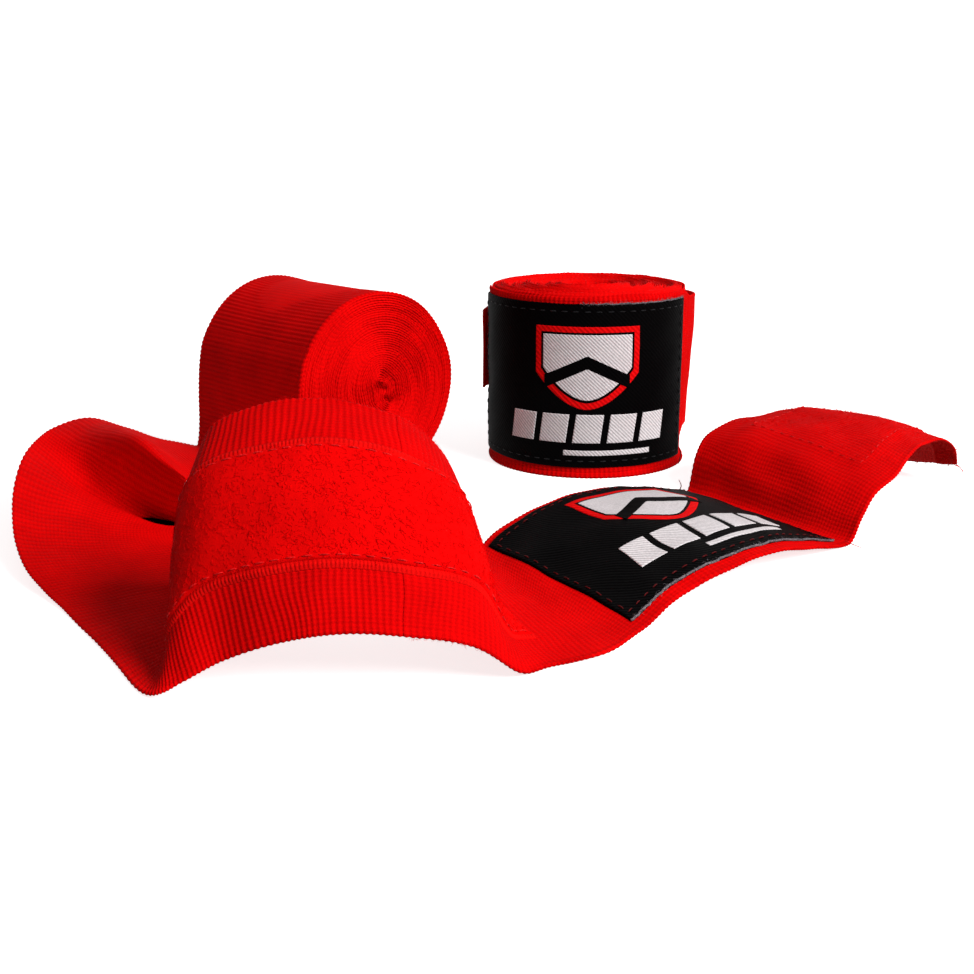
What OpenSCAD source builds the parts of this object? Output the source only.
// A pair of elastic hand wraps on a flat surface, in millimetres, +Z up.
// One wrap is partly unrolled: its roll lies on its side and the strip runs off in a
// banked turn, an arch, a label span and a curled hook end. The other is rolled and
// closed, and stands on its edge. The origin is the middle of the pair, on the surface.

/* [Strip] */
// Width of the woven strip
strip_w = 50; // [46:1:52]
// Thickness of the woven strip
strip_t = 0.7; // [0.5:0.1:0.8]

/* [Open roll] */
// Radius of the roll that is still wound
open_roll_r = 25.5; // [22:0.5:25.5]
// Direction of the roll's axis, from the front face to the back face
open_roll_turn = 132; // [128:1:136]

/* [Closed roll] */
// Radius of the wound strip, without its last lap
closed_roll_r = 27.5; // [20:0.5:27.5]
// Radius of the core that both rolls are wound on
core_r = 4.5; // [4:0.5:6]
// Height of the closure tab's lower edge
tab_z = 9; // [4:1:12]

/* [Label] */
// Height of the woven label
label_h = 45; // [40:1:46]
// Thickness of the woven label
label_t = 0.6; // [0.4:0.1:0.6]
// Height that the emblem and the stitching stand above the cloth
thread_t = 0.2; // [0.2:0.05:0.3]

/* [Hook and loop] */
// Share of the strip's width that the loop panel covers
panel_share = 0.56; // [0.4:0.02:0.6]
// Thickness of the loop panel
panel_t = 0.6; // [0.4:0.1:0.8]
// Width of the binding on each side of the loop panel
binding_w = 2.4; // [2:0.2:3]
// Thickness of the hook patch
hook_t = 0.5; // [0.4:0.1:0.6]

/* [Hidden] */

$fn = 96;
gap = 0.3;                          // clearance between pieces that move apart
sewn_gap = 0.15;                    // clearance under a layer that is sewn on a curved one
strip_red = "crimson";
pile_red = "red";
label_black = "black";
thread_white = "white";

// The open roll stands clear of the strip that runs out under it.
open_roll_at = [-36, 41, strip_t + gap + open_roll_r];
closed_roll_at = [22, 72, 0];

// The unrolled strip: one station across it at a time. Each holds a point on the outer
// selvedge, one on the inner selvedge, and how far the middle bulges off the line between.
stations = [
    [[-69, 78, 0], [-36, 41, 0], [0, 0, 0]],
    [[-88, 61, 4], [-55, 24, 1], [0, 0, 1]],
    [[-105, 46, 13], [-73, 8, 4], [0, -1, 3]],
    [[-114, 37, 18], [-78, 0, 6], [0, -3, 4]],
    [[-119, 25, 18], [-77, -2, 5], [0, -4, 1]],
    [[-120, 11, 17], [-74, -3, 2], [2, 1, -7]],
    [[-118, -5, 15], [-72, -3, 0], [2, 2, -5]],
    [[-114, -22, 10], [-71, -5, 0], [1, 1, -3]],
    [[-106, -41, 4], [-66, -11, 0], [0, 0, -1]],
    [[-92, -59, 0], [-51, -30, 0], [0, 0, 0]],
    [[-78, -80, 0], [-48, -41, 4], [0, 0, -2]],
    [[-66, -99, 0], [-57, -51, 15], [0, -2, -3]],
    [[-59, -100, 3], [-62, -61, 28], [-3, -1, 1]],
    [[-52, -98, 6], [-59, -66, 39], [-3, -2, 3]],
    [[-42, -100, 10], [-48, -67, 44], [-2, -3, 3]],
    [[-31, -101, 12], [-35, -67, 45], [0, -3, 3]],
    [[-20, -100, 11], [-23, -66, 41], [1, -3, 3]],
    [[-9, -97, 8], [-15, -61, 32], [2, -2, 3]],
    [[-1, -92, 1], [-13, -59, 21], [0, -2, 1]],
    [[5, -87, 0], [-11, -54, 12], [-2, 0, -1]],
    [[14, -82, 0], [-9, -44, 5], [1, 0, -1]],
    [[23, -70, 0], [-8, -30, 4], [0, 0, 1]],
    [[33, -57, 3], [1, -19, 8], [0, 0, 2]],
    [[48, -43, 5], [14, -8, 10], [0, 0, 2]],
    [[61, -31, 4], [28, 4, 8], [0, 0, 2]],
    [[71, -22, 1], [40, 16, 4], [0, 0, 1]],
    [[77, -16, 0], [46, 29, 0], [0, 0, 0]],
    [[81, -11, 5], [49, 35, 9], [0, 0, 0]],
    [[85, -6, 9], [53, 41, 13], [0, 0, 2]],
    [[92, 1, 12], [61, 48, 15], [0, 0, 2]],
    [[99, 12, 15], [70, 54, 15], [0, 0, 2]],
    [[106, 22, 15], [78, 64, 14], [1, 1, 3]],
    [[113, 30, 14], [85, 71, 9], [1, 1, 2]],
    [[118, 35, 10], [90, 75, 4], [1, 1, 0]],
    [[120, 38, 5], [93, 78, 0], [1, 1, -2]]
];

// Places along the strip, counted in stations
at_roll = 0;
at_lower_layer = 9;
at_label_valley = 20;
at_hook_valley = 26;
at_end = 34;
seam = 0.08;                        // half the gap left where the strip flexes, in stations

// One coordinate column of the stations, smoothed by a Catmull-Rom curve
function station(i, c) = stations[min(max(i, 0), at_end)][c];
function curve(a, b, c, d, f) = 0.5 * (2 * b + (c - a) * f + (2 * a - 5 * b + 4 * c - d) * f * f
    + (3 * b - a - 3 * c + d) * f * f * f);
function rail(t, c) = let (i = min(floor(t), at_end - 1))
    curve(station(i - 1, c), station(i, c), station(i + 1, c), station(i + 2, c), t - i);

// The middle surface of the strip: t runs along it, v across it from the outer selvedge
function raw(t, v) = let (a = rail(t, 0), b = a + (rail(t, 1) - a) * strip_w / 50)
    a * (1 - v) + b * v + rail(t, 2) * 4 * v * (1 - v);
function middle(t, v) = let (p = raw(t, v)) [p[0], p[1], max(p[2], 0) + strip_t / 2];
function unit(a) = a / norm(a);
function facing(t, v) = let (e = 0.05, w = 0.02)
    unit(cross(middle(t + e, v) - middle(t - e, v), middle(t, v + w) - middle(t, v - w)));
function place(t, v, h) = middle(t, v) + h * facing(t, v);

// A closed skin between two heights over the strip, from station t0 to t1. lo and hi give its
// two edges across the strip, for a share u of the way along it.
module skin(t0, t1, lo, hi, h0, h1, nu, nv) {
    top = (nu + 1) * (nv + 1);
    points = [for (h = [h0, h1], i = [0:nu], j = [0:nv])
        let (u = i / nu, v = lo(u) + (hi(u) - lo(u)) * j / nv) place(t0 + (t1 - t0) * u, v, h)];
    function at(i, j, k) = k * top + i * (nv + 1) + j;
    faces = concat(
        [for (i = [0:nu - 1], j = [0:nv - 1], f = [0, 1]) f == 0
            ? [at(i, j, 0), at(i + 1, j, 0), at(i + 1, j + 1, 0)]
            : [at(i, j, 0), at(i + 1, j + 1, 0), at(i, j + 1, 0)]],
        [for (i = [0:nu - 1], j = [0:nv - 1], f = [0, 1]) f == 0
            ? [at(i, j, 1), at(i + 1, j + 1, 1), at(i + 1, j, 1)]
            : [at(i, j, 1), at(i, j + 1, 1), at(i + 1, j + 1, 1)]],
        [for (i = [0:nu - 1], f = [0, 1]) f == 0
            ? [at(i, 0, 0), at(i, 0, 1), at(i + 1, 0, 1)]
            : [at(i, 0, 0), at(i + 1, 0, 1), at(i + 1, 0, 0)]],
        [for (i = [0:nu - 1], f = [0, 1]) f == 0
            ? [at(i, nv, 0), at(i + 1, nv, 1), at(i, nv, 1)]
            : [at(i, nv, 0), at(i + 1, nv, 0), at(i + 1, nv, 1)]],
        [for (j = [0:nv - 1], f = [0, 1]) f == 0
            ? [at(0, j, 0), at(0, j + 1, 1), at(0, j, 1)]
            : [at(0, j, 0), at(0, j + 1, 0), at(0, j + 1, 1)]],
        [for (j = [0:nv - 1], f = [0, 1]) f == 0
            ? [at(nu, j, 0), at(nu, j, 1), at(nu, j + 1, 1)]
            : [at(nu, j, 0), at(nu, j + 1, 1), at(nu, j + 1, 0)]]);
    polyhedron(points, faces, convexity = 6);
}

// The same skin with straight edges
module band(t0, t1, v0, v1, h0, h1, nu, nv) {
    skin(t0, t1, function(u) v0, function(u) v1, h0, h1, nu, nv);
}

// A piece of the strip itself
module strip(t0, t1, nu) {
    band(t0, t1, 0, 1, -strip_t / 2, strip_t / 2, nu, 10);
}

// A thread line over the strip, in a few long stitches
module stitch_line(t0, t1, v0, v1, h, count) {
    w = 0.008;
    for (k = [0:count - 1]) {
        a = k / count;
        b = (k + 0.7) / count;
        skin(t0 + (t1 - t0) * a, t0 + (t1 - t0) * b,
            function(u) v0 + (v1 - v0) * (a + (b - a) * u) - w,
            function(u) v0 + (v1 - v0) * (a + (b - a) * u) + w, h, h + thread_t, 2, 1);
    }
}

// A thread line straight across the strip
module stitch_across(t, v0, v1, h, count) {
    for (k = [0:count - 1])
        band(t - 0.03, t + 0.03, v0 + (v1 - v0) * k / count,
            v0 + (v1 - v0) * (k + 0.7) / count, h, h + thread_t, 1, 2);
}

// ---- the wound rolls ----

// A wound strip: its laps as one ring around the core
module wound(r, w) {
    difference() {
        cylinder(h = w, r = r);
        translate([0, 0, -1]) cylinder(h = w + 2, r = core_r);
    }
}

loop_w = 22;                        // width of the thumb loop's tape
loop_half = core_r - 1.8;           // half the flattened loop, to the middle of its bends

module flat_loop_outline(r) {
    hull() {
        translate([-loop_half, 0]) circle(r = r, $fn = 32);
        translate([loop_half, 0]) circle(r = r, $fn = 32);
    }
}

// The thumb loop: a tape loop squeezed flat in the core
module thumb_loop(w) {
    translate([0, 0, (w - loop_w) / 2]) linear_extrude(loop_w) difference() {
        flat_loop_outline(1.5);
        flat_loop_outline(0.8);
    }
}

// The bar tack that closes the thumb loop
module bartack(w) {
    for (k = [-2:2])
        translate([-1.2, 1.5, w / 2 + 2 * k - 0.5]) cube([2.4, thread_t, 1]);
}

// Turns a piece that stands on its edge into the open roll's place
module in_open_roll() {
    translate(open_roll_at) rotate([0, 0, open_roll_turn]) rotate([0, 90, 0]) children();
}

module in_closed_roll() {
    translate(closed_roll_at) children();
}

// ---- the open wrap ----

module open_roll_strip() {
    color(strip_red) in_open_roll() wound(open_roll_r, strip_w);
}

module open_thumb_loop() {
    color(strip_red) in_open_roll() thumb_loop(strip_w);
}

module open_thumb_bartack() {
    color(pile_red) in_open_roll() bartack(strip_w);
}

module open_strip_lead() {
    color(strip_red) strip(at_roll, at_lower_layer - seam, 72);
}

module open_strip_arch() {
    color(strip_red) strip(at_lower_layer + seam, at_label_valley - seam, 88);
}

panel_from = 11.3;
panel_to = 19.2;
panel_v0 = (1 - panel_share) / 2;
panel_v1 = 1 - panel_v0;
binding_v = binding_w / strip_w;
on_strip = strip_t / 2 + sewn_gap;  // height of what is sewn on the strip

module open_loop_panel() {
    color(pile_red) band(panel_from, panel_to, panel_v0 + binding_v, panel_v1 - binding_v,
        on_strip, on_strip + panel_t, 64, 5);
}

module open_loop_binding() {
    color(strip_red) {
        band(panel_from, panel_to, panel_v0, panel_v0 + binding_v - 0.002,
            on_strip, on_strip + panel_t, 64, 2);
        band(panel_from, panel_to, panel_v1 - binding_v + 0.002, panel_v1,
            on_strip, on_strip + panel_t, 64, 2);
    }
}

module open_loop_stitching() {
    h = on_strip + panel_t + sewn_gap / 2;
    color(pile_red) {
        stitch_line(panel_from + 0.1, panel_to - 0.1, panel_v0 + binding_v / 2,
            panel_v0 + binding_v / 2, h, 30);
        stitch_line(panel_from + 0.1, panel_to - 0.1, panel_v1 - binding_v / 2,
            panel_v1 - binding_v / 2, h, 30);
    }
}

module open_strip_label_span() {
    color(strip_red) strip(at_label_valley + seam, at_hook_valley - seam, 48);
}

label_from = 21;
label_to = 25.7;
label_v0 = 0.06;
label_v1 = label_v0 + label_h / strip_w;

module open_label() {
    color(label_black) band(label_from, label_to, label_v0, label_v1,
        on_strip, on_strip + label_t, 40, 8);
}

module open_label_stitching() {
    h = on_strip + label_t + sewn_gap / 2;
    inset = 0.045;
    color(label_black) {
        stitch_line(label_from + 0.2, label_to - 0.2, label_v0 + inset, label_v0 + inset, h, 18);
        stitch_line(label_from + 0.2, label_to - 0.2, label_v1 - inset, label_v1 - inset, h, 18);
        stitch_across(label_from + 0.2, label_v0 + 0.07, label_v1 - 0.07, h, 10);
        stitch_across(label_to - 0.2, label_v0 + 0.07, label_v1 - 0.07, h, 10);
    }
}

// The emblem: a shield over a row of slanted blocks, with a thin line under them
block_n = 5;

module open_label_emblem() {
    h = on_strip + label_t + sewn_gap / 2;
    middle_t = 23.3;
    color(thread_white) {
        skin(middle_t - 0.85, middle_t + 0.85,
            function(u) 0.42 + 0.14 * abs(2 * u - 1) * abs(2 * u - 1), function(u) 0.86,
            h, h + thread_t, 12, 5);
        for (k = [0:block_n - 1]) {
            t = middle_t - 1.6 + 0.6 * k;
            skin(t, t + 0.48, function(u) 0.22 + 0.02 * u, function(u) 0.38 + 0.02 * u,
                h, h + thread_t, 3, 2);
        }
        band(middle_t - 0.7, middle_t + 1.2, 0.15, 0.18, h, h + thread_t, 10, 1);
    }
}

module open_strip_hook_end() {
    color(strip_red) strip(at_hook_valley + seam, at_end, 48);
}

hook_from = 28.6;
hook_to = 33.8;

module open_hook_patch() {
    color(pile_red) band(hook_from, hook_to, 0.14, 0.86,
        -on_strip - hook_t, -on_strip, 26, 6);
}

module open_hook_stitching() {
    h = strip_t / 2 + sewn_gap / 2;
    color(pile_red) {
        stitch_line(hook_from, hook_to, 0.17, 0.17, h, 12);
        stitch_line(hook_from, hook_to, 0.83, 0.83, h, 12);
        stitch_across(hook_from + 0.1, 0.19, 0.81, h, 10);
        stitch_across(hook_to - 0.1, 0.19, 0.81, h, 10);
    }
}

// ---- the closed wrap ----

// A curved piece around the closed roll, from angle a0 to a1
module arc(r, t, a0, a1, z0, z1) {
    rotate([0, 0, a0]) rotate_extrude(angle = a1 - a0) translate([r, z0]) square([t, z1 - z0]);
}

lap_r = closed_roll_r;
label_r = lap_r + strip_t;
emblem_r = label_r + label_t;
back_panel_t = 0.4;                 // the loop panel, pressed thin under the closure
patch_r = lap_r + back_panel_t + gap;
tab_r = patch_r + hook_t;
label_z = 3;
label_a0 = 182;
label_a1 = 334;
emblem_a = 266;                     // middle of the emblem, in degrees round the roll

module closed_roll_strip() {
    color(strip_red) in_closed_roll() wound(closed_roll_r, strip_w);
}

module closed_thumb_loop() {
    color(strip_red) in_closed_roll() thumb_loop(strip_w);
}

module closed_thumb_bartack() {
    color(pile_red) in_closed_roll() bartack(strip_w);
}

module closed_loop_panel() {
    color(pile_red) in_closed_roll() arc(lap_r, back_panel_t, 12, 174,
        strip_w * panel_v0 + binding_w, strip_w * panel_v1 - binding_w);
}

module closed_loop_binding() {
    color(strip_red) in_closed_roll() {
        arc(lap_r, back_panel_t, 12, 174, strip_w * panel_v0, strip_w * panel_v0 + binding_w);
        arc(lap_r, back_panel_t, 12, 174, strip_w * panel_v1 - binding_w, strip_w * panel_v1);
    }
}

module closed_label_lap() {
    color(strip_red) in_closed_roll() arc(lap_r, strip_t, 179, 356, 1.5, strip_w - 0.5);
}

module closed_label() {
    color(label_black) in_closed_roll() arc(label_r, label_t, label_a0, label_a1, label_z, label_z + label_h);
}

module closed_label_stitching() {
    inset = 2;
    color(label_black) in_closed_roll() {
        for (a = [label_a0 + 5:6:label_a1 - 9], z = [label_z + inset, label_z + label_h - inset - 0.6])
            arc(emblem_r, thread_t, a, a + 4, z, z + 0.6);
        for (z = [label_z + 4:4:label_z + label_h - 9], a = [label_a0 + 3, label_a1 - 4])
            arc(emblem_r, thread_t, a, a + 1.2, z, z + 2.8);
    }
}

// A flat outline, wrapped on the front of the label
module on_label() {
    intersection() {
        arc(emblem_r, thread_t, 200, 340, 0, strip_w);
        rotate([90, 0, emblem_a - 270]) linear_extrude(40) children();
    }
}

module shield_outline() {
    polygon([[-14, 42], [14, 42], [14, 30], [9, 23], [0, 19.5], [-9, 23], [-14, 30]]);
}

module closed_label_emblem() {
    block_w = 7.2;
    block_pitch = 9;
    color(thread_white) in_closed_roll() on_label() {
        shield_outline();
        for (k = [0:block_n - 1])
            translate([block_pitch * (k - 2) - block_w / 2, 10])
                polygon([[0, 0], [block_w, 0], [block_w + 1, 8], [1, 8]]);
        translate([-6, 6.5]) square([24, 1.5]);
    }
}

tab_top = 49;
tab_to = 178;

module closed_hook_end() {
    color(strip_red) in_closed_roll() arc(tab_r, strip_t, 1, tab_to, tab_z, tab_top);
}

module closed_hook_patch() {
    color(pile_red) in_closed_roll() arc(patch_r, hook_t, 70, tab_to - 4, tab_z + 4, tab_top - 4);
}

module closed_hook_stitching() {
    r = tab_r + strip_t;
    color(pile_red) in_closed_roll() {
        for (a = [72:6:160], z = [tab_z + 5, tab_top - 5.6])
            arc(r, thread_t, a, a + 4, z, z + 0.6);
        for (z = [tab_z + 7:4:tab_top - 9], a = [71, 166])
            arc(r, thread_t, a, a + 1.2, z, z + 2.8);
    }
}

open_roll_strip();
open_thumb_loop();
open_thumb_bartack();
open_strip_lead();
open_strip_arch();
open_loop_panel();
open_loop_binding();
open_loop_stitching();
open_strip_label_span();
open_label();
open_label_stitching();
open_label_emblem();
open_strip_hook_end();
open_hook_patch();
open_hook_stitching();
closed_roll_strip();
closed_thumb_loop();
closed_thumb_bartack();
closed_loop_panel();
closed_loop_binding();
closed_label_lap();
closed_label();
closed_label_stitching();
closed_label_emblem();
closed_hook_end();
closed_hook_patch();
closed_hook_stitching();
